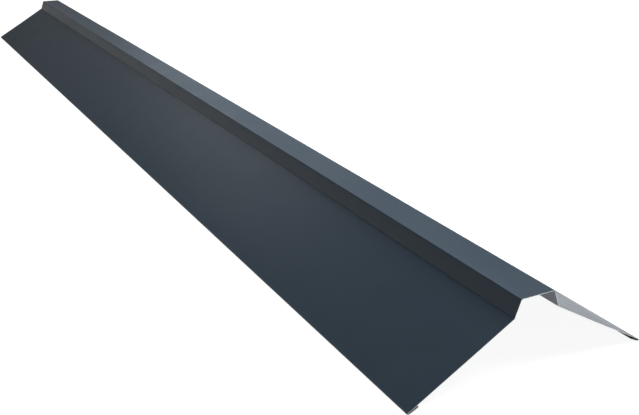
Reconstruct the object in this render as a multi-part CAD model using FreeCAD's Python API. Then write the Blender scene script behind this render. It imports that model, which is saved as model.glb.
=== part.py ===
# Roof ridge cap: one strip of coated steel sheet, folded on a press brake to one constant section.
# A flat crown stands on two steep risers, a wide wing slopes down from the foot of each riser, and
# the free edge of each wing is turned back underneath in an open safety hem. Both ends are cut square.
# The section is drawn from bend to bend: flats joined by tangent arcs, with the upper (painted) skin
# and the lower (backing) skin as concentric arcs, so the sheet keeps one thickness round every bend.
# Frame: X along the ridge, Y across it, +Z up. The origin is at the middle of the length and width,
# on the level floor that the two hem folds stand on. Sizes are in millimetres and degrees.

import FreeCAD
import Part
import math
import os

# Driving sizes. Flat widths run between the sharp corners of the upper skin.
cap_length = 2000.0
sheet_thickness = 0.5
crown_width = 40.0
riser_width = 20.0
riser_slope = 70.0
wing_width = 134.0
wing_slope = 30.0
bend_inner_radius = 1.5
hem_width = 13.0
hem_inner_radius = 0.6
hem_opening_angle = 5.0


def direction(angle):
    """Unit vector in the section plane: 0 degrees points along +Y and 90 degrees along +Z."""
    a = math.radians(angle)
    return FreeCAD.Vector(0.0, math.cos(a), math.sin(a))


def upper_setback(radius_on_upper_skin, bend_angle):
    """Length that a bend takes from a flat, measured on the upper skin from the sharp corner."""
    return radius_on_upper_skin * math.tan(math.radians(bend_angle / 2.0))


class SheetRun:
    """One half of the section, walked from the crown outwards, with both skins kept side by side."""

    def __init__(self, upper_point, heading):
        self.heading = heading
        self.upper = [upper_point]
        self.lower = [upper_point - self.up() * sheet_thickness]
        self.upper_edges = []
        self.lower_edges = []

    def up(self):
        return direction(self.heading + 90.0)

    def flat(self, width):
        """A straight flat of the given width."""
        step = direction(self.heading) * width
        for points, edges in ((self.upper, self.upper_edges), (self.lower, self.lower_edges)):
            start = points[-1]
            end = start + step
            edges.append(Part.LineSegment(start, end).toShape())
            points.append(end)

    def bend(self, angle, inner_radius):
        """A tangent bend. A positive angle turns the sheet down and a negative one turns it up."""
        side = 1.0 if angle > 0.0 else -1.0
        upper_radius = inner_radius + (sheet_thickness if side > 0.0 else 0.0)
        centre = self.upper[-1] - self.up() * (side * upper_radius)
        first_up = self.heading + 90.0
        self.heading -= angle
        for points, edges in ((self.upper, self.upper_edges), (self.lower, self.lower_edges)):
            radius = (points[-1] - centre).Length
            middle = centre + direction(first_up - angle / 2.0) * (side * radius)
            end = centre + direction(first_up - angle) * (side * radius)
            edges.append(Part.Arc(points[-1], middle, end).toShape())
            points.append(end)
        return centre


def half_section():
    """Walks crown edge, riser, wing and hem. Returns the run and the height of its lowest point."""
    crown_bend = riser_slope
    foot_bend = riser_slope - wing_slope
    hem_fold = 180.0 - hem_opening_angle
    hem_outer_radius = hem_inner_radius + sheet_thickness
    crown_setback = upper_setback(bend_inner_radius + sheet_thickness, crown_bend)
    foot_setback = upper_setback(bend_inner_radius, foot_bend)

    run = SheetRun(FreeCAD.Vector(0.0, crown_width / 2.0 - crown_setback, 0.0), 0.0)
    run.bend(crown_bend, bend_inner_radius)
    run.flat(riser_width - crown_setback - foot_setback)
    run.bend(-foot_bend, bend_inner_radius)
    run.flat(wing_width - foot_setback - hem_outer_radius)
    fold_centre = run.bend(hem_fold, hem_inner_radius)
    run.flat(hem_width - hem_outer_radius)
    return run, fold_centre.z - hem_outer_radius


def mirrored(edges):
    """The same edges on the other side of the ridge."""
    ridge_line = FreeCAD.Vector(0.0, 0.0, 0.0)
    across_the_ridge = FreeCAD.Vector(0.0, 1.0, 0.0)
    return [edge.mirror(ridge_line, across_the_ridge) for edge in edges]


def skin(edges, crown_half, height):
    """One whole skin, from the hem on the -Y side across the crown to the hem on the +Y side."""
    crown = Part.LineSegment(
        FreeCAD.Vector(0.0, -crown_half, height), FreeCAD.Vector(0.0, crown_half, height)
    ).toShape()
    return mirrored(edges) + [crown] + edges


def raw_edge(upper_end, lower_end):
    """The cut edge of the sheet at the free end of a hem."""
    return Part.LineSegment(upper_end, lower_end).toShape()


def across(point):
    """The same point on the other side of the ridge."""
    return FreeCAD.Vector(point.x, -point.y, point.z)


def folded_sheet():
    run, lowest = half_section()
    upper = skin(run.upper_edges, run.upper[0].y, run.upper[0].z)
    lower = skin(run.lower_edges, run.lower[0].y, run.lower[0].z)
    ends = [
        raw_edge(run.upper[-1], run.lower[-1]),
        raw_edge(across(run.upper[-1]), across(run.lower[-1])),
    ]
    outline = Part.Wire(Part.__sortEdges__(upper + lower + ends))
    sheet = Part.Face(outline).extrude(FreeCAD.Vector(cap_length, 0.0, 0.0))
    sheet.translate(FreeCAD.Vector(-cap_length / 2.0, 0.0, -lowest))
    return sheet


os.makedirs("parts", exist_ok=True)
ridge_cap = folded_sheet()
ridge_cap.exportStep("parts/ridge_cap_sheet.step")
box = ridge_cap.BoundBox
print("valid", ridge_cap.isValid(), "solids", len(ridge_cap.Solids), "faces", len(ridge_cap.Faces))
print("size", round(box.XLength, 3), round(box.YLength, 3), round(box.ZLength, 3), "low", round(box.ZMin, 4))
print("volume", round(ridge_cap.Volume, 1), "girth", round(ridge_cap.Volume / cap_length / sheet_thickness, 2))
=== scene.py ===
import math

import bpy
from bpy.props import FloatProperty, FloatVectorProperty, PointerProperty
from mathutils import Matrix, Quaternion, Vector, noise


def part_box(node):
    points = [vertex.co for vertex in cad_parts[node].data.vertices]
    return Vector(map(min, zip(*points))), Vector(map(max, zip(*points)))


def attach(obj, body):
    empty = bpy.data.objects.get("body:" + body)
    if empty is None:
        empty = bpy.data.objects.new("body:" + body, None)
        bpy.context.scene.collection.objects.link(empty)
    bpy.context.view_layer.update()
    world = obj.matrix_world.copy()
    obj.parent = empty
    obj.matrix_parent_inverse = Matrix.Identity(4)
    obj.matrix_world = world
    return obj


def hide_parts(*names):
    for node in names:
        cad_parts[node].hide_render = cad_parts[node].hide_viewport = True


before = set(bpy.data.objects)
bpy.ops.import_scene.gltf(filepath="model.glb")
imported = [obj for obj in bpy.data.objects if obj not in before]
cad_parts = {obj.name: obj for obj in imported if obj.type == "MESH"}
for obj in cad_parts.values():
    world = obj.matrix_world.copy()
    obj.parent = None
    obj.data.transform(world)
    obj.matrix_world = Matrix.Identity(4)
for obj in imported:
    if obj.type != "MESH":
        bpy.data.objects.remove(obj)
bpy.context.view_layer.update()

# Roof ridge cap: one strip of coated steel sheet, folded to a constant section.
# The sheet is one closed mesh with three finishes. The upper skin carries a satin dark blue-grey
# topcoat, the lower skin a light grey backing coat, and the sheared edges show zinc and steel.
# Sizes are in metres and angles in radians. X runs along the ridge, Y across it and Z up.

bl_info = {
    "name": "Roof ridge cap",
    "version": (1, 0, 0),
    "blender": (4, 5, 0),
    "location": "3D View > Sidebar > Ridge cap",
    "description": "Builds a folded sheet-metal ridge cap with its coatings, and a plain studio for it",
    "category": "Object",
}

SHEET_NODE = "ridge_cap_sheet"
SHEET_BODY = "root"

frame_low, frame_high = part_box(SHEET_NODE)


class RidgeCapSection(bpy.types.PropertyGroup):
    """Sizes of the folded section. Flat widths run between the sharp corners of the painted skin."""

    cap_length: FloatProperty(
        name="Length", description="Length of the cap along the ridge",
        default=frame_high.x - frame_low.x, min=0.1, unit="LENGTH",
    )
    sheet_thickness: FloatProperty(
        name="Thickness", description="Thickness of the sheet with its coatings",
        default=0.0005, min=0.0001, unit="LENGTH", precision=5,
    )
    crown_width: FloatProperty(
        name="Crown width", description="Width of the flat crown",
        default=0.040, unit="LENGTH", precision=4,
    )
    riser_width: FloatProperty(
        name="Riser width", description="Width of each riser",
        default=0.020, unit="LENGTH", precision=4,
    )
    riser_slope: FloatProperty(
        name="Riser slope", description="Slope of the risers below level",
        default=math.radians(70.0), subtype="ANGLE",
    )
    wing_width: FloatProperty(
        name="Wing width", description="Width of each wing",
        default=0.134, unit="LENGTH", precision=4,
    )
    wing_slope: FloatProperty(
        name="Wing slope", description="Slope of the wings below level",
        default=math.radians(30.0), subtype="ANGLE",
    )
    bend_inner_radius: FloatProperty(
        name="Bend radius", description="Inner radius of the crown and foot bends",
        default=0.0015, unit="LENGTH", precision=5,
    )
    hem_width: FloatProperty(
        name="Hem width", description="Width that is folded back under each wing",
        default=0.013, unit="LENGTH", precision=4,
    )
    hem_inner_radius: FloatProperty(
        name="Hem radius", description="Inner radius of the hem fold",
        default=0.0006, unit="LENGTH", precision=5,
    )
    hem_opening_angle: FloatProperty(
        name="Hem opening", description="Angle left between the wing and its hem",
        default=math.radians(5.0), subtype="ANGLE",
    )


class RidgeCapFlatness(bpy.types.PropertyGroup):
    """How far thin sheet strays from flat, and how closely the mesh follows it."""

    canning_depth: FloatProperty(
        name="Wave depth", description="Depth of the soft waves in the middle of a wing",
        default=0.00035, unit="LENGTH", precision=5,
    )
    canning_length: FloatProperty(
        name="Wave length", description="Usual distance from one soft wave to the next",
        default=0.24, min=0.01, unit="LENGTH",
    )
    hem_ripple: FloatProperty(
        name="Hem ripple", description="Unevenness of the opened hem at its raw edge",
        default=0.00025, unit="LENGTH", precision=5,
    )
    edge_roll: FloatProperty(
        name="Edge roll", description="Rounding that the shear leaves on the painted side of a cut",
        default=0.00006, unit="LENGTH", precision=6,
    )
    row_spacing: FloatProperty(
        name="Row spacing", description="Distance between mesh rows along the cap",
        default=0.02, min=0.002, unit="LENGTH",
    )
    column_spacing: FloatProperty(
        name="Column spacing", description="Distance between mesh columns across a flat",
        default=0.009, min=0.001, unit="LENGTH",
    )


class RidgeCapFinish(bpy.types.PropertyGroup):
    """Colours and grain of the two coatings and of the bare metal."""

    topcoat: FloatVectorProperty(
        name="Topcoat", description="Colour of the satin topcoat",
        default=(0.048, 0.070, 0.095), subtype="COLOR", min=0.0, max=1.0,
    )
    topcoat_roughness: FloatProperty(
        name="Topcoat roughness", description="Roughness of the satin topcoat",
        default=0.36, min=0.0, max=1.0, subtype="FACTOR",
    )
    topcoat_shine: FloatProperty(
        name="Topcoat shine", description="How strongly the satin topcoat mirrors when seen head-on",
        default=0.42, min=0.0, max=1.0, subtype="FACTOR",
    )
    topcoat_tint: FloatVectorProperty(
        name="Topcoat tint", description="Tint of what the satin topcoat mirrors",
        default=(0.80, 0.93, 1.0), subtype="COLOR", min=0.0, max=1.0,
    )
    backing: FloatVectorProperty(
        name="Backing coat", description="Colour of the thin backing coat underneath",
        default=(0.39, 0.42, 0.47), subtype="COLOR", min=0.0, max=1.0,
    )
    backing_roughness: FloatProperty(
        name="Backing roughness", description="Roughness of the backing coat",
        default=0.55, min=0.0, max=1.0, subtype="FACTOR",
    )
    zinc: FloatVectorProperty(
        name="Zinc", description="Colour of zinc on the cut edges and in worn spots",
        default=(0.60, 0.62, 0.64), subtype="COLOR", min=0.0, max=1.0,
    )
    steel: FloatVectorProperty(
        name="Steel", description="Colour of the torn steel in the cut edges",
        default=(0.36, 0.36, 0.37), subtype="COLOR", min=0.0, max=1.0,
    )
    peel_size: FloatProperty(
        name="Peel size", description="Distance between the dimples of the dried paint",
        default=0.0016, min=0.0001, unit="LENGTH", precision=5,
    )
    peel_depth: FloatProperty(
        name="Peel depth", description="Depth of the dimples of the dried paint",
        default=0.000010, unit="LENGTH", precision=7,
    )
    streak_width: FloatProperty(
        name="Streak width", description="Width of the faint streaks that the coating rollers leave",
        default=0.006, min=0.0005, unit="LENGTH", precision=4,
    )


class RidgeCapStudio(bpy.types.PropertyGroup):
    """Camera, lamps and floor."""

    camera_place: FloatVectorProperty(
        name="Camera", description="Place of the camera",
        default=(1.5834, -0.5392, 0.4776), subtype="TRANSLATION",
    )
    camera_turn: FloatProperty(
        name="Turn", description="Turn of the view away from the ridge line",
        default=math.radians(27.85), subtype="ANGLE",
    )
    camera_dip: FloatProperty(
        name="Dip", description="Angle of the view below level",
        default=math.radians(21.485), subtype="ANGLE",
    )
    camera_roll: FloatProperty(
        name="Roll", description="Roll of the camera about its view",
        default=math.radians(-0.20), subtype="ANGLE",
    )
    camera_lens: FloatProperty(
        name="Lens", description="Focal length in millimetres on a 36 mm wide sensor",
        default=51.79, min=1.0, unit="CAMERA",
    )
    floor_size: FloatProperty(
        name="Floor", description="Side of the square floor", default=160.0, unit="LENGTH",
    )
    sky_level: FloatProperty(
        name="Sky", description="Level of the even light from all around", default=0.02, min=0.0,
    )
    overhead_level: FloatProperty(
        name="Overhead", description="Strength of the wide light from behind and above",
        default=0.5, min=0.0,
    )
    key_place: FloatVectorProperty(
        name="Key lamp", description="Place of the large soft lamp over the near half",
        default=(1.0, 0.70, 1.80), subtype="TRANSLATION",
    )
    key_size: FloatVectorProperty(
        name="Key size", description="Width and height of the large soft lamp",
        default=(1.6, 1.2), size=2, unit="LENGTH",
    )
    key_power: FloatProperty(
        name="Key power", description="Power of the large soft lamp in watts",
        default=28.0, min=0.0, unit="POWER",
    )
    cool_colour: FloatVectorProperty(
        name="Cool colour", description="Colour of the slightly cool panels over the crown",
        default=(0.88, 1.0, 1.12), subtype="COLOR", min=0.0, soft_max=2.0,
    )
    panel_dimmer: FloatProperty(
        name="Panel dimmer", description="Share of their power that the dim panels give",
        default=1.0, min=0.0, subtype="FACTOR",
    )


class Station:
    """One column of the sheet: its place in the section and how the sheet behaves there."""

    def __init__(self, place, up, across, strain, slack, ripple):
        self.place = place
        self.up = up
        self.across = across
        self.strain = strain
        self.slack = slack
        self.ripple = ripple

    def mirrored(self):
        """The same column on the other side of the ridge."""
        place = Vector((-self.place.x, self.place.y))
        up = Vector((-self.up.x, self.up.y))
        return Station(place, up, -self.across, self.strain, self.slack, self.ripple)


def heading_vector(angle):
    """Unit vector in the section plane, x across the ridge and y up."""
    return Vector((math.cos(angle), math.sin(angle)))


# The first two columns beside a bend stand at these distances, and the strain of the fold ends at
# the second. A flat takes only those margins that are under a third of its width.
FIRST_COLUMN = 0.0004
STRAIN_FADE = 0.0025
LARGEST_MARGIN = 1.0 / 3.0
BEND_PARTS_PER_TURN = 64
LEAST_BEND_PARTS = 4


def flat_steps(width, spacing):
    """Distances along a flat, close together beside the bends at its ends."""
    margins = [d for d in (FIRST_COLUMN, STRAIN_FADE) if d < width * LARGEST_MARGIN]
    inner = width - 2.0 * margins[-1]
    count = max(1, round(inner / spacing))
    middle = [margins[-1] + inner * k / count for k in range(count + 1)]
    return [0.0] + margins[:-1] + middle + [width - d for d in reversed(margins[:-1])] + [width]


class HalfSection:
    """Walks the painted skin from a crown bend out to the raw edge of a hem."""

    def __init__(self, section, flatness):
        self.section = section
        self.flatness = flatness
        self.heading = 0.0
        self.stations = []

    def up(self):
        """The way that the painted skin faces."""
        return heading_vector(self.heading + math.pi / 2.0)

    def add(self, place, up, across, strain, slack=0.0, ripple=0.0):
        """Adds one column to the walk."""
        self.stations.append(Station(place, up, across, strain, slack, ripple))

    def flat(self, width, free_edge=False):
        """A straight flat. Wide ones are slack enough to wave, and a free edge may ripple."""
        start, direction, up = self.stations[-1], heading_vector(self.heading), self.up()
        stiffness = width / self.section.wing_width
        for step in flat_steps(width, self.flatness.column_spacing)[1:]:
            to_bend = step if free_edge else min(step, width - step)
            strain = max(0.0, 1.0 - to_bend / STRAIN_FADE)
            slack = stiffness ** 2 * math.sin(math.pi * step / width) ** 2
            ripple = step / width if free_edge else 0.0
            self.add(start.place + direction * step, up, start.across + step,
                     strain, 0.0 if free_edge else slack, ripple)

    def bend(self, angle, inner_radius):
        """A tangent bend. A positive angle turns the sheet down and a negative one turns it up."""
        side = 1.0 if angle > 0.0 else -1.0
        thickness = self.section.sheet_thickness
        radius = inner_radius + (thickness if side > 0.0 else 0.0)
        start = self.stations[-1]
        centre = start.place - self.up() * (side * radius)
        parts = max(LEAST_BEND_PARTS, round(BEND_PARTS_PER_TURN * abs(angle) / math.tau))
        first = self.heading + math.pi / 2.0
        middle_radius = inner_radius + thickness / 2.0
        for k in range(1, parts + 1):
            up = heading_vector(first - angle * k / parts)
            across = start.across + middle_radius * abs(angle) * k / parts
            self.add(centre + up * (side * radius), up, across, 1.0)
        self.heading -= angle


def section_stations(section, flatness):
    """All columns of the sheet, from the raw edge on the -Y side to the one on the +Y side."""
    crown_bend = section.riser_slope
    foot_bend = section.riser_slope - section.wing_slope
    crown_setback = (section.bend_inner_radius + section.sheet_thickness) * math.tan(crown_bend / 2.0)
    foot_setback = section.bend_inner_radius * math.tan(foot_bend / 2.0)
    hem_setback = section.hem_inner_radius + section.sheet_thickness
    crown_half = section.crown_width / 2.0 - crown_setback

    half = HalfSection(section, flatness)
    half.add(Vector((crown_half, 0.0)), half.up(), crown_half, 1.0)
    half.bend(crown_bend, section.bend_inner_radius)
    half.flat(section.riser_width - crown_setback - foot_setback)
    half.bend(-foot_bend, section.bend_inner_radius)
    half.flat(section.wing_width - foot_setback - hem_setback)
    half.bend(math.pi - section.hem_opening_angle, section.hem_inner_radius)
    half.flat(section.hem_width - hem_setback, free_edge=True)

    crown = HalfSection(section, flatness)
    crown.add(Vector((-crown_half, 0.0)), crown.up(), -crown_half, 1.0)
    crown.flat(2.0 * crown_half)

    stations = [s.mirrored() for s in reversed(half.stations)]
    stations += crown.stations[1:-1] + half.stations
    lowest = min(s.place.y for s in stations)
    for station in stations:
        station.place.y -= lowest
    return stations


END_MARGINS = (0.0005, 0.0015, 0.004, 0.010)


def row_places(length, flatness):
    """Distances of the mesh rows from the middle of the cap, close together at both cut ends."""
    margins = (0.0, flatness.edge_roll, *END_MARGINS)
    inner = length - 2.0 * margins[-1]
    count = max(1, round(inner / flatness.row_spacing))
    middle = [margins[-1] + inner * k / count for k in range(count + 1)]
    places = list(margins[:-1]) + middle + [length - d for d in reversed(margins[:-1])]
    return [p - length / 2.0 for p in places]


RIM_REACH = 0.004


def rim_value(distance):
    """1 at a cut edge, falling to 0 where the wear of handling ends."""
    return max(0.0, 1.0 - distance / RIM_REACH)


DARK_HEM_EDGE_FADE = 0.003


def dark_hem_edge_value(to_raw_edge, hem_width):
    """1 on a hem, whose cut ends show the topcoat's dark colour through their whole thickness, and 0 on
    a wing.
    """
    if to_raw_edge < FIRST_COLUMN / 2.0:
        return 0.0
    return min(1.0, max(0.0, (hem_width - to_raw_edge) / DARK_HEM_EDGE_FADE))


# The values that the mesh holds at each point for the finishes to read: its place in the flat strip,
# how far folding has strained it, how near a cut it is, 1 on the topcoat and 0 on the backing coat,
# and how far a hem's cut end takes the topcoat's dark colour.
POINT_VALUES = {
    "flat_pattern": "FLOAT_VECTOR",
    "fold_strain": "FLOAT",
    "rim": "FLOAT",
    "depth": "FLOAT",
    "dark_hem_edge": "FLOAT",
}

# The waves of the two wings and the ripples of the two hems differ, because each reads its own
# part of the noise. The waves sink more than they rise, so the sheet keeps inside its box.
WING_OFFSET = 3.7
HEM_OFFSET = 11.3
WAVES_PER_METRE_ACROSS = 6.0
RIPPLE_LENGTH_SHARE = 0.5
WAVE_SINKING = 0.5


def sheet_points(stations, rows, section, flatness):
    """Points of both skins, row by row, with the values at each point."""
    points = []
    values = {name: [] for name in POINT_VALUES}
    half_length = section.cap_length / 2.0
    widest = stations[-1].across
    wave_length = flatness.canning_length
    ripple_length = RIPPLE_LENGTH_SHARE * wave_length
    for x in rows:
        for station in stations:
            side = math.copysign(1.0, station.across)
            wave_across = station.across * WAVES_PER_METRE_ACROSS
            wave = noise.noise(Vector((x / wave_length, WING_OFFSET * side, wave_across)))
            flutter = noise.noise(Vector((x / ripple_length, HEM_OFFSET * side, 0.0)))
            lift = flatness.canning_depth * station.slack * (wave - WAVE_SINKING)
            lift += flatness.hem_ripple * station.ripple * flutter
            to_end = half_length - abs(x)
            to_edge = widest - abs(station.across)
            cut = to_end < flatness.edge_roll / 2.0 or to_edge < flatness.edge_roll / 2.0
            roll = flatness.edge_roll if cut else 0.0
            flat_place = (x, station.across, 0.0)
            rim = rim_value(min(to_end, to_edge))
            # Hems get 1 here, so their cut ends show the topcoat's dark colour instead of bare metal.
            dark_hem_edge = dark_hem_edge_value(to_edge, section.hem_width)
            for level, depth in ((lift - roll, 1.0), (lift - section.sheet_thickness, 0.0)):
                place = station.place + station.up * level
                points.append((x, place.x, place.y))
                for name, value in zip(values, (flat_place, station.strain, rim, depth, dark_hem_edge)):
                    values[name].append(value)
    return points, values


TOPCOAT_INDEX, BACKING_INDEX, CUT_INDEX = range(3)


def sheet_faces(row_count, column_count):
    """Faces of the closed sheet with the finish of each: both skins, the two ends, both raw edges."""
    def upper(row, column):
        return 2 * (row * column_count + column)

    def lower(row, column):
        return upper(row, column) + 1

    faces, finishes = [], []
    for row in range(row_count - 1):
        for column in range(column_count - 1):
            corners = [(row, column), (row + 1, column), (row + 1, column + 1), (row, column + 1)]
            faces.append([upper(*c) for c in corners])
            finishes.append(TOPCOAT_INDEX)
            faces.append([lower(*c) for c in reversed(corners)])
            finishes.append(BACKING_INDEX)
    last_row, last_column = row_count - 1, column_count - 1
    for column in range(last_column):
        near, far = (last_row, column), (last_row, column + 1)
        faces.append([upper(*near), lower(*near), lower(*far), upper(*far)])
        near, far = (0, column), (0, column + 1)
        faces.append([upper(*far), lower(*far), lower(*near), upper(*near)])
    for row in range(last_row):
        near, far = (row, last_column), (row + 1, last_column)
        faces.append([upper(*near), upper(*far), lower(*far), lower(*near)])
        near, far = (row, 0), (row + 1, 0)
        faces.append([upper(*far), upper(*near), lower(*near), lower(*far)])
    finishes += [CUT_INDEX] * (len(faces) - len(finishes))
    return faces, finishes


def write_attribute(mesh, name, kind, values):
    """Writes a value at each point of the mesh."""
    attribute = mesh.attributes.new(name, kind, "POINT")
    if kind == "FLOAT_VECTOR":
        attribute.data.foreach_set("vector", [c for value in values for c in value])
    else:
        attribute.data.foreach_set("value", values)


def sheet_mesh(section, flatness):
    """The folded sheet as one closed mesh, smooth over its bends and sharp at its cut edges."""
    stations = section_stations(section, flatness)
    rows = row_places(section.cap_length, flatness)
    points, values = sheet_points(stations, rows, section, flatness)
    faces, finishes = sheet_faces(len(rows), len(stations))
    mesh = bpy.data.meshes.new("folded_sheet")
    mesh.from_pydata(points, [], faces)
    mesh.polygons.foreach_set("material_index", finishes)
    mesh.polygons.foreach_set("use_smooth", [True] * len(faces))
    for name, kind in POINT_VALUES.items():
        write_attribute(mesh, name, kind, values[name])
    finish_at_edge = {}
    for polygon in mesh.polygons:
        for key in polygon.edge_keys:
            finish_at_edge.setdefault(key, set()).add(polygon.material_index)
    for edge in mesh.edges:
        edge.use_edge_sharp = len(finish_at_edge[tuple(sorted(edge.vertices))]) > 1
    mesh.validate()
    mesh.update()
    return mesh


def new_node(tree, kind, place, **settings):
    """A shader node at a place in the editor, with its settings."""
    made = tree.nodes.new(kind)
    made.location = place
    for name, value in settings.items():
        setattr(made, name, value)
    return made


def feed(tree, socket, value):
    """Links a socket to another node's output, or sets it to a plain value."""
    if isinstance(value, bpy.types.NodeSocket):
        tree.links.new(value, socket)
    else:
        socket.default_value = value


def opaque(colour):
    """A colour as a shader's socket takes it."""
    return (*colour, 1.0)


def math_node(tree, operation, place, first, second):
    """A math node whose inputs are links or plain numbers. Returns its output."""
    made = new_node(tree, "ShaderNodeMath", place, operation=operation)
    for socket, value in zip(made.inputs, (first, second)):
        feed(tree, socket, value)
    return made.outputs[0]


def range_node(tree, place, value, low, high, to_low, to_high, smooth=False):
    """Maps a value from one range to another and clamps it there."""
    made = new_node(tree, "ShaderNodeMapRange", place)
    made.interpolation_type = "SMOOTHSTEP" if smooth else "LINEAR"
    tree.links.new(value, made.inputs["Value"])
    ends = {"From Min": low, "From Max": high, "To Min": to_low, "To Max": to_high}
    for name, end in ends.items():
        made.inputs[name].default_value = end
    return made.outputs["Result"]


# Nearly all values of a noise texture fall between these two.
NOISE_LOW, NOISE_HIGH = 0.3, 0.7


def spread_node(tree, place, value, low, high):
    """Spreads the values of a noise over a range of its own."""
    return range_node(tree, place, value, NOISE_LOW, NOISE_HIGH, low, high)


def colour_mix(tree, place, factor, first, second):
    """Mixes two colours, each a link or a plain colour."""
    made = new_node(tree, "ShaderNodeMix", place, data_type="RGBA")
    tree.links.new(factor, made.inputs["Factor"])
    ends = [s for s in made.inputs if s.type == "RGBA"]
    for socket, value in zip(ends, (first, second)):
        feed(tree, socket, value if isinstance(value, bpy.types.NodeSocket) else opaque(value))
    return next(s for s in made.outputs if s.type == "RGBA")


def noise_node(tree, place, steps, detail, roughness=0.5):
    """A noise texture over a pattern that is already in steps of its size. Returns its value output."""
    made = new_node(tree, "ShaderNodeTexNoise", place)
    tree.links.new(steps, made.inputs["Vector"])
    made.inputs["Scale"].default_value = 1.0
    made.inputs["Detail"].default_value = detail
    made.inputs["Roughness"].default_value = roughness
    return made.outputs[0]


def new_group(name, inputs, outputs):
    """An empty shader group with its sockets. inputs and outputs are (name, kind, default) lists."""
    tree = bpy.data.node_groups.new(name, "ShaderNodeTree")
    for direction, sockets in (("INPUT", inputs), ("OUTPUT", outputs)):
        for socket_name, kind, default in sockets:
            socket = tree.interface.new_socket(socket_name, in_out=direction, socket_type=kind)
            if default is not None:
                socket.default_value = default
    enter = new_node(tree, "NodeGroupInput", (-900, 0))
    leave = new_node(tree, "NodeGroupOutput", (700, 0))
    return tree, enter, leave


def place_group(tree, group, place, **values):
    """A group in a material, with its inputs linked or set. Spaces in names are written as _."""
    made = new_node(tree, "ShaderNodeGroup", place, node_tree=group)
    for name, value in values.items():
        feed(tree, made.inputs[name.replace("_", " ")], value)
    return made


def divided(tree, place, vector, along, across):
    """The flat pattern in steps of two sizes, one along the strip and one across it."""
    sizes = new_node(tree, "ShaderNodeCombineXYZ", (place[0] - 180, place[1] - 160))
    for axis, size in zip("XYZ", (along, across, 1.0)):
        feed(tree, sizes.inputs[axis], size)
    made = new_node(tree, "ShaderNodeVectorMath", place, operation="DIVIDE")
    tree.links.new(vector, made.inputs[0])
    tree.links.new(sizes.outputs[0], made.inputs[1])
    return made.outputs[0]


VALUE, VECTOR = "NodeSocketFloat", "NodeSocketVector"


def strip_grain_group():
    """Faint streaks along the strip, left by the coating rollers, and a slow mottle over them."""
    tree, enter, leave = new_group(
        "Strip grain",
        [("Flat Pattern", VECTOR, None), ("Streak Width", VALUE, 0.006),
         ("Streak Length", VALUE, 0.9), ("Mottle Size", VALUE, 0.05)],
        [("Streaks", VALUE, None), ("Mottle", VALUE, None)],
    )
    pattern = enter.outputs["Flat Pattern"]
    long_steps = divided(tree, (-500, 150), pattern, enter.outputs["Streak Length"],
                         enter.outputs["Streak Width"])
    streaks = noise_node(tree, (-250, 150), long_steps, detail=3.0, roughness=0.6)
    round_steps = divided(tree, (-500, -150), pattern, enter.outputs["Mottle Size"],
                          enter.outputs["Mottle Size"])
    mottle = noise_node(tree, (-250, -150), round_steps, detail=4.0, roughness=0.55)
    tree.links.new(streaks, leave.inputs["Streaks"])
    tree.links.new(mottle, leave.inputs["Mottle"])
    return tree


# The noise of the dimples reaches further to both sides, because it has less detail.
DIMPLE_LOW, DIMPLE_HIGH = 0.25, 0.75


def orange_peel_group():
    """Height of the fine dimples in dried paint, in metres."""
    tree, enter, leave = new_group(
        "Orange peel",
        [("Flat Pattern", VECTOR, None), ("Peel Size", VALUE, 0.0016), ("Peel Depth", VALUE, 0.00001)],
        [("Height", VALUE, None)],
    )
    steps = divided(tree, (-500, 0), enter.outputs["Flat Pattern"], enter.outputs["Peel Size"],
                    enter.outputs["Peel Size"])
    dimples = noise_node(tree, (-250, 0), steps, detail=1.5)
    relief = range_node(tree, (-20, 0), dimples, DIMPLE_LOW, DIMPLE_HIGH, 0.0, 1.0)
    height = math_node(tree, "MULTIPLY", (200, 0), relief, enter.outputs["Peel Depth"])
    tree.links.new(height, leave.inputs["Height"])
    return tree


# The strain of a fold shows in patches of this size, at this least share of its full strength. The
# last value is how softly a chip in the coating ends.
PATCH_SIZE = 0.012
PATCH_LEAST = 0.55
CHIP_BORDER = 0.02


def edge_wear_group():
    """Where folding has strained the coating, and where shearing and handling have bared metal."""
    tree, enter, leave = new_group(
        "Edge wear",
        [("Flat Pattern", VECTOR, None), ("Fold Strain", VALUE, 0.0), ("Rim", VALUE, 0.0),
         ("Chip Size", VALUE, 0.0015), ("Chip Reach", VALUE, 0.12)],
        [("Strained", VALUE, None), ("Bare", VALUE, None)],
    )
    steps = divided(tree, (-600, 200), enter.outputs["Flat Pattern"], PATCH_SIZE, PATCH_SIZE)
    patches = noise_node(tree, (-350, 200), steps, detail=3.0)
    uneven = spread_node(tree, (-100, 200), patches, PATCH_LEAST, 1.0)
    strained = math_node(tree, "MULTIPLY", (200, 200), enter.outputs["Fold Strain"], uneven)
    chip_steps = divided(tree, (-600, -150), enter.outputs["Flat Pattern"],
                         enter.outputs["Chip Size"], enter.outputs["Chip Size"])
    chips = noise_node(tree, (-350, -150), chip_steps, detail=2.0)
    reach = math_node(tree, "MULTIPLY", (-100, -250), chips, enter.outputs["Chip Reach"])
    border = math_node(tree, "SUBTRACT", (60, -250), 1.0, reach)
    past = math_node(tree, "SUBTRACT", (220, -150), enter.outputs["Rim"], border)
    bare = range_node(tree, (400, -150), past, 0.0, CHIP_BORDER, 0.0, 1.0, smooth=True)
    tree.links.new(strained, leave.inputs["Strained"])
    tree.links.new(bare, leave.inputs["Bare"])
    return tree


def scaled(colour, factor):
    """A colour made lighter or darker."""
    return tuple(c * factor for c in colour)


def sheet_values(tree):
    """The values that the mesh holds at each point, as outputs of their nodes."""
    outputs = {}
    for row, (name, kind) in enumerate(POINT_VALUES.items()):
        made = new_node(tree, "ShaderNodeAttribute", (-1500, 300 - 180 * row), attribute_name=name)
        outputs[name] = made.outputs["Vector" if kind == "FLOAT_VECTOR" else "Fac"]
    return outputs


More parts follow.
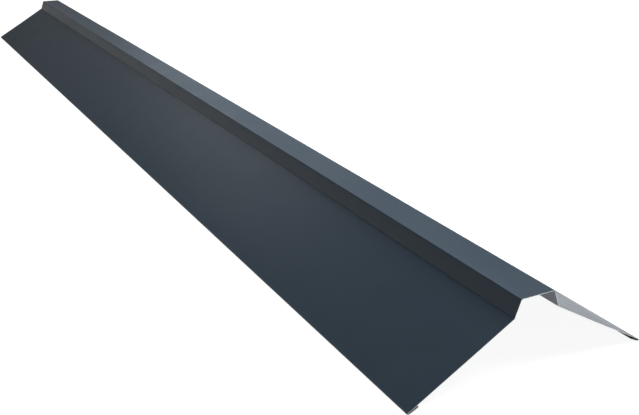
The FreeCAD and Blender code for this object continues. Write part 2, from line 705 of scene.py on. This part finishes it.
def new_material(name):
    """A material with an empty Principled surface. Returns it with its tree and shader."""
    material = bpy.data.materials.new(name)
    material.use_nodes = True
    tree = material.node_tree
    tree.nodes.clear()
    surface = new_node(tree, "ShaderNodeBsdfPrincipled", (300, 0))
    output = new_node(tree, "ShaderNodeOutputMaterial", (600, 0))
    tree.links.new(surface.outputs[0], output.inputs["Surface"])
    return material, tree, surface


def add_bump(tree, surface, height, place):
    """Bump from a height in metres."""
    bump = new_node(tree, "ShaderNodeBump", place)
    bump.inputs["Strength"].default_value = 1.0
    bump.inputs["Distance"].default_value = 1.0
    tree.links.new(height, bump.inputs["Height"])
    tree.links.new(bump.outputs[0], surface.inputs["Normal"])


def coating_effects(tree, values, groups, grain, peel, wear):
    """Places the three effects of a coating, each with its own sizes."""
    pattern = values["flat_pattern"]
    return (
        place_group(tree, groups["grain"], (-1100, 400), Flat_Pattern=pattern, **grain),
        place_group(tree, groups["peel"], (-1100, -300), Flat_Pattern=pattern, **peel),
        place_group(tree, groups["wear"], (-1100, 50), Flat_Pattern=pattern,
                    Fold_Strain=values["fold_strain"], Rim=values["rim"], **wear),
    )


def shade_lines(tree, place, grain, colour, shades):
    """A colour with darker and lighter streaks. shades are the two as shares of the colour."""
    dark, light = (scaled(colour, shade) for shade in shades)
    return colour_mix(tree, place, grain.outputs["Streaks"], dark, light)


def mottle_over(tree, grain, streaked, share, clouded):
    """Lays the slow mottle over the streaks, up to a share of its own colour."""
    cloud = spread_node(tree, (-800, 600), grain.outputs["Mottle"], 0.0, share)
    return colour_mix(tree, (-550, 400), cloud, streaked, clouded)


def mottled_roughness(tree, grain, middle, spread):
    """Roughness that follows the slow mottle on both sides of its middle."""
    return spread_node(tree, (-550, -100), grain.outputs["Mottle"], middle - spread, middle + spread)


def bare_metal(tree, surface, wear, coated, metal):
    """Shows metal where the coating is gone."""
    bared = colour_mix(tree, (-50, 400), wear.outputs["Bare"], coated, metal)
    tree.links.new(bared, surface.inputs["Base Color"])
    tree.links.new(wear.outputs["Bare"], surface.inputs["Metallic"])


TOPCOAT_GRAIN = {"Streak_Length": 0.9, "Mottle_Size": 0.06}
TOPCOAT_WEAR = {"Chip_Size": 0.0012, "Chip_Reach": 0.04}
TOPCOAT_STREAKS = (0.92, 1.08)
TOPCOAT_CLOUD_SHARE, TOPCOAT_CLOUD_SHADE = 0.20, 1.2
TOPCOAT_FOLD_SHARE, TOPCOAT_FOLD_SHADE = 0.35, 1.6
TOPCOAT_ROUGHNESS_SPREAD = 0.025
FOLD_POLISH = -0.06
STREAK_ROUGHNESS = 0.015


def topcoat_material(finish, groups):
    """Satin polyester topcoat on the painted skin."""
    material, tree, surface = new_material("satin_topcoat")
    values = sheet_values(tree)
    grain, peel, wear = coating_effects(
        tree, values, groups,
        grain={"Streak_Width": finish.streak_width, **TOPCOAT_GRAIN},
        peel={"Peel_Size": finish.peel_size, "Peel_Depth": finish.peel_depth},
        wear=TOPCOAT_WEAR)
    streaked = shade_lines(tree, (-800, 400), grain, finish.topcoat, TOPCOAT_STREAKS)
    mottled = mottle_over(tree, grain, streaked, TOPCOAT_CLOUD_SHARE,
                          scaled(finish.topcoat, TOPCOAT_CLOUD_SHADE))
    strain = math_node(tree, "MULTIPLY", (-550, 200), wear.outputs["Strained"], TOPCOAT_FOLD_SHARE)
    folded = colour_mix(tree, (-300, 400), strain, mottled, scaled(finish.topcoat, TOPCOAT_FOLD_SHADE))
    bare_metal(tree, surface, wear, folded, finish.zinc)
    rough = mottled_roughness(tree, grain, finish.topcoat_roughness, TOPCOAT_ROUGHNESS_SPREAD)
    polish = math_node(tree, "MULTIPLY", (-550, -300), wear.outputs["Strained"], FOLD_POLISH)
    rough = math_node(tree, "ADD", (-300, -100), rough, polish)
    streak_rough = spread_node(tree, (-550, -500), grain.outputs["Streaks"],
                               -STREAK_ROUGHNESS, STREAK_ROUGHNESS)
    rough = math_node(tree, "ADD", (-100, -100), rough, streak_rough)
    tree.links.new(rough, surface.inputs["Roughness"])
    surface.inputs["Specular IOR Level"].default_value = finish.topcoat_shine
    surface.inputs["Specular Tint"].default_value = opaque(finish.topcoat_tint)
    add_bump(tree, surface, peel.outputs["Height"], (50, -400))
    return material


BACKING_GRAIN = {"Streak_Width": 0.004, "Streak_Length": 0.5, "Mottle_Size": 0.02}
BACKING_PEEL = {"Peel_Size": 0.001, "Peel_Depth": 0.000006}
BACKING_WEAR = {"Chip_Size": 0.002, "Chip_Reach": 0.18}
BACKING_STREAKS = (0.90, 1.08)
BACKING_CLOUD_SHARE, BACKING_CLOUD_SHADE = 0.35, 0.86
BACKING_ROUGHNESS_SPREAD = 0.05


def backing_material(finish, groups):
    """Thin light grey backing coat on the underside."""
    material, tree, surface = new_material("backing_coat")
    values = sheet_values(tree)
    grain, peel, wear = coating_effects(
        tree, values, groups, grain=BACKING_GRAIN, peel=BACKING_PEEL, wear=BACKING_WEAR)
    streaked = shade_lines(tree, (-800, 400), grain, finish.backing, BACKING_STREAKS)
    mottled = mottle_over(tree, grain, streaked, BACKING_CLOUD_SHARE,
                          scaled(finish.backing, BACKING_CLOUD_SHADE))
    bare_metal(tree, surface, wear, mottled, finish.zinc)
    rough = mottled_roughness(tree, grain, finish.backing_roughness, BACKING_ROUGHNESS_SPREAD)
    tree.links.new(rough, surface.inputs["Roughness"])
    add_bump(tree, surface, peel.outputs["Height"], (50, -400))
    return material


# A cut edge is read by its depth, from 0 at the backing coat to 1 at the topcoat. The sheared band
# turns into the torn one between TEAR_LOW and TEAR_HIGH, at a place that wanders by TEAR_WANDER. The
# topcoat's own line lies above PAINT_LOW.
CUT_GRAIN = {"Streak_Width": 0.0006, "Streak_Length": 0.0006, "Mottle_Size": 0.008}
TEAR_LOW, TEAR_HIGH = 0.55, 0.62
TEAR_WANDER = 0.10
PAINT_LOW, PAINT_HIGH = 0.93, 0.95
SHEARED_SHADES = (0.95, 1.08)
TORN_SHADES = (1.05, 1.35)
SHEARED_ROUGHNESS, TORN_ROUGHNESS = 0.32, 0.6


def cut_edge_material(finish, groups):
    """Sheared edge: a smooth band smeared with zinc, a torn band of steel, and the paint's own line."""
    material, tree, surface = new_material("cut_edge")
    values = sheet_values(tree)
    grain = place_group(tree, groups["grain"], (-1100, 400), Flat_Pattern=values["flat_pattern"],
                        **CUT_GRAIN)
    wander = spread_node(tree, (-900, -100), grain.outputs["Mottle"], -TEAR_WANDER, TEAR_WANDER)
    level = math_node(tree, "ADD", (-700, -100), values["depth"], wander)
    torn = range_node(tree, (-500, -100), level, TEAR_LOW, TEAR_HIGH, 0.0, 1.0, smooth=True)
    sheared_lines = shade_lines(tree, (-500, 400), grain, finish.zinc, SHEARED_SHADES)
    torn_lines = shade_lines(tree, (-500, 150), grain, finish.steel, TORN_SHADES)
    metal = colour_mix(tree, (-250, 300), torn, sheared_lines, torn_lines)
    # On the hems the cut shows the topcoat's dark colour through its whole thickness instead of bare
    # metal.
    paint_level = math_node(tree, "ADD", (-400, -50), values["depth"], values["dark_hem_edge"])
    painted = range_node(tree, (-250, -50), paint_level, PAINT_LOW, PAINT_HIGH, 0.0, 1.0)
    shown = colour_mix(tree, (0, 300), painted, metal, finish.topcoat)
    metallic = range_node(tree, (0, 50), painted, 0.0, 1.0, 1.0, 0.0)
    rough = range_node(tree, (0, -200), torn, 0.0, 1.0, SHEARED_ROUGHNESS, TORN_ROUGHNESS)
    tree.links.new(shown, surface.inputs["Base Color"])
    tree.links.new(metallic, surface.inputs["Metallic"])
    tree.links.new(rough, surface.inputs["Roughness"])
    return material


def built_sheet(context):
    """The folded sheet with its finishes, riding on the body and standing for the sheet's node."""
    scene = context.scene
    groups = {"grain": strip_grain_group(), "peel": orange_peel_group(), "wear": edge_wear_group()}
    mesh = sheet_mesh(scene.ridge_cap_section, scene.ridge_cap_flatness)
    for make in (topcoat_material, backing_material, cut_edge_material):
        mesh.materials.append(make(scene.ridge_cap_finish, groups))
    sheet = bpy.data.objects.new("folded_sheet", mesh)
    scene.collection.objects.link(sheet)
    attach(sheet, SHEET_BODY)
    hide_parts(SHEET_NODE)
    return sheet


BOX_ALLOWANCE = 0.0002


class OBJECT_OT_ridge_cap_sheet(bpy.types.Operator):
    """Build the folded sheet with its coatings"""

    bl_idname = "object.ridge_cap_sheet"
    bl_label = "Folded sheet"

    def execute(self, context):
        sheet = built_sheet(context)
        corners = [Vector(corner) for corner in sheet.bound_box]
        for axis in range(3):
            low = min(c[axis] for c in corners)
            high = max(c[axis] for c in corners)
            if max(abs(low - frame_low[axis]), abs(high - frame_high[axis])) > BOX_ALLOWANCE:
                raise RuntimeError("the folded sheet doesn't fill the box of the packed sheet")
        return {"FINISHED"}


def light_path_mask(tree, place):
    """1 for rays that show the floor itself: seen by the camera, mirrored or through glass."""
    path = new_node(tree, "ShaderNodeLightPath", place)
    seen = math_node(tree, "MAXIMUM", (place[0] + 200, place[1]),
                     path.outputs["Is Camera Ray"], path.outputs["Is Glossy Ray"])
    return math_node(tree, "MAXIMUM", (place[0] + 400, place[1]),
                     seen, path.outputs["Is Transmission Ray"])


WHITE = (1.0, 1.0, 1.0)

# Where the floor is seen, it glows a little below white, and the lamps bring it up to white except
# in the cap's shadow. FLOOR_COLOUR sets how much light it throws back on the cap.
FLOOR_GLOW = 0.91
FLOOR_SHADE = (0.45, 0.45, 0.45)
FLOOR_COLOUR = (0.62, 0.62, 0.62)


def floor_material():
    """Plain white floor that keeps a pale shadow."""
    material = bpy.data.materials.new("studio_floor")
    material.use_nodes = True
    tree = material.node_tree
    tree.nodes.clear()
    lit = new_node(tree, "ShaderNodeBsdfDiffuse", (-200, 200))
    lit.inputs["Color"].default_value = opaque(FLOOR_COLOUR)
    shaded = new_node(tree, "ShaderNodeBsdfDiffuse", (-200, 50))
    shaded.inputs["Color"].default_value = opaque(FLOOR_SHADE)
    glow = new_node(tree, "ShaderNodeEmission", (-200, -100))
    glow.inputs["Color"].default_value = opaque(WHITE)
    glow.inputs["Strength"].default_value = FLOOR_GLOW
    shown = new_node(tree, "ShaderNodeAddShader", (0, -20))
    tree.links.new(shaded.outputs[0], shown.inputs[0])
    tree.links.new(glow.outputs[0], shown.inputs[1])
    mix = new_node(tree, "ShaderNodeMixShader", (200, 100))
    tree.links.new(light_path_mask(tree, (-500, 400)), mix.inputs[0])
    tree.links.new(lit.outputs[0], mix.inputs[1])
    tree.links.new(shown.outputs[0], mix.inputs[2])
    output = new_node(tree, "ShaderNodeOutputMaterial", (400, 100))
    tree.links.new(mix.outputs[0], output.inputs["Surface"])
    return material


def built_floor(scene, size):
    """A level square floor under the cap."""
    half = size / 2.0
    mesh = bpy.data.meshes.new("studio_floor")
    corners = [(-half, -half, 0.0), (half, -half, 0.0), (half, half, 0.0), (-half, half, 0.0)]
    mesh.from_pydata(corners, [], [(0, 1, 2, 3)])
    mesh.materials.append(floor_material())
    floor = bpy.data.objects.new("studio_floor", mesh)
    scene.collection.objects.link(floor)


def light_world(scene, studio):
    """Faint even light from all around."""
    world = bpy.data.worlds.new("studio_world")
    world.use_nodes = True
    background = world.node_tree.nodes["Background"]
    background.inputs["Color"].default_value = opaque(WHITE)
    background.inputs["Strength"].default_value = studio.sky_level
    scene.world = world


def aim(lamp, target):
    """Turns a lamp towards a point."""
    lamp.rotation_mode = "QUATERNION"
    lamp.rotation_quaternion = (target - lamp.location).to_track_quat("-Z", "Y")


def area_lamp(scene, name, place, target, size, power, colour=WHITE):
    """A soft rectangular lamp that the camera doesn't see."""
    data = bpy.data.lights.new(name, "AREA")
    data.shape = "RECTANGLE"
    data.size, data.size_y = size
    data.energy = power
    data.color = colour
    lamp = bpy.data.objects.new(name, data)
    lamp.location = place
    lamp.visible_camera = False
    scene.collection.objects.link(lamp)
    aim(lamp, Vector(target))


OVERHEAD_PLACE = (0.0, 2.0, 3.0)
OVERHEAD_WIDTH = math.radians(50.0)


def overhead_light(scene, studio):
    """Wide soft light, even over the whole floor."""
    data = bpy.data.lights.new("overhead_light", "SUN")
    data.energy = studio.overhead_level
    data.angle = OVERHEAD_WIDTH
    lamp = bpy.data.objects.new("overhead_light", data)
    lamp.location = OVERHEAD_PLACE
    scene.collection.objects.link(lamp)
    aim(lamp, Vector((0.0, 0.0, 0.0)))


SENSOR_WIDTH = 36.0
NEAREST_SEEN, FURTHEST_SEEN = 0.01, 200.0


def built_camera(scene, studio):
    """The camera at the angle of the photograph."""
    data = bpy.data.cameras.new("camera")
    data.sensor_width = SENSOR_WIDTH
    data.lens = studio.camera_lens
    data.clip_start = NEAREST_SEEN
    data.clip_end = FURTHEST_SEEN
    camera = bpy.data.objects.new("camera", data)
    camera.location = studio.camera_place
    level = math.cos(studio.camera_dip)
    view = Vector((
        -math.cos(studio.camera_turn) * level,
        math.sin(studio.camera_turn) * level,
        -math.sin(studio.camera_dip),
    ))
    camera.rotation_mode = "QUATERNION"
    roll = Quaternion((0.0, 0.0, 1.0), studio.camera_roll)
    camera.rotation_quaternion = view.to_track_quat("-Z", "Y") @ roll
    scene.collection.objects.link(camera)
    scene.camera = camera


KEY_TARGET = (0.5, 0.0, 0.0)
PANEL_TARGET = (0.1, 0.0, 0.0)

# The far half of the cap mirrors these dim panels. Each has its place, size and power in watts, and
# whether it has the cool colour.
PANELS = (
    ("middle_lamp", (0.0, 0.60, 1.20), (0.8, 0.8), 3.9, True),
    ("crown_panel", (-1.6, 0.80, 0.75), (0.8, 0.5), 1.05, True),
    ("near_panel", (-0.95, 1.05, 0.85), (0.5, 0.4), 0.36, True),
    ("wing_panel", (-1.6, 0.0, 1.10), (0.8, 0.5), 1.38, False),
    ("far_panel", (-2.6, 0.60, 0.70), (1.2, 0.5), 0.63, False),
    ("side_panel", (-2.4, -0.20, 0.60), (1.0, 0.6), 0.34, False),
)


class SCENE_OT_ridge_cap_studio(bpy.types.Operator):
    """Build the floor, the lamps, the world and the camera"""

    bl_idname = "scene.ridge_cap_studio"
    bl_label = "Studio"

    def execute(self, context):
        scene = context.scene
        studio = scene.ridge_cap_studio
        built_floor(scene, studio.floor_size)
        light_world(scene, studio)
        area_lamp(scene, "key_lamp", studio.key_place, KEY_TARGET, studio.key_size, studio.key_power)
        for name, place, size, power, cool in PANELS:
            area_lamp(scene, name, place, PANEL_TARGET, size, power * studio.panel_dimmer,
                      studio.cool_colour if cool else WHITE)
        overhead_light(scene, studio)
        built_camera(scene, studio)
        scene.view_settings.view_transform = "Standard"
        return {"FINISHED"}


class VIEW3D_PT_ridge_cap(bpy.types.Panel):
    """Sizes, finishes and steps of the ridge cap."""

    bl_idname = "VIEW3D_PT_ridge_cap"
    bl_label = "Ridge cap"
    bl_space_type = "VIEW_3D"
    bl_region_type = "UI"
    bl_category = "Ridge cap"

    def draw(self, context):
        scene = context.scene
        for name in GROUPS:
            settings = getattr(scene, name)
            column = self.layout.column(align=True)
            for entry in settings.bl_rna.properties:
                if entry.identifier not in ("rna_type", "name"):
                    column.prop(settings, entry.identifier)
        for operator in OPERATORS:
            self.layout.operator(operator.bl_idname)


GROUPS = {
    "ridge_cap_section": RidgeCapSection,
    "ridge_cap_flatness": RidgeCapFlatness,
    "ridge_cap_finish": RidgeCapFinish,
    "ridge_cap_studio": RidgeCapStudio,
}
OPERATORS = (OBJECT_OT_ridge_cap_sheet, SCENE_OT_ridge_cap_studio)
CLASSES = (*GROUPS.values(), *OPERATORS, VIEW3D_PT_ridge_cap)


def register():
    for made in CLASSES:
        bpy.utils.register_class(made)
    for name, group in GROUPS.items():
        setattr(bpy.types.Scene, name, PointerProperty(type=group))


def unregister():
    for name in GROUPS:
        delattr(bpy.types.Scene, name)
    for made in reversed(CLASSES):
        bpy.utils.unregister_class(made)


def main():
    register()
    bpy.ops.object.ridge_cap_sheet()
    bpy.ops.scene.ridge_cap_studio()


if __name__ == "__main__":
    main()
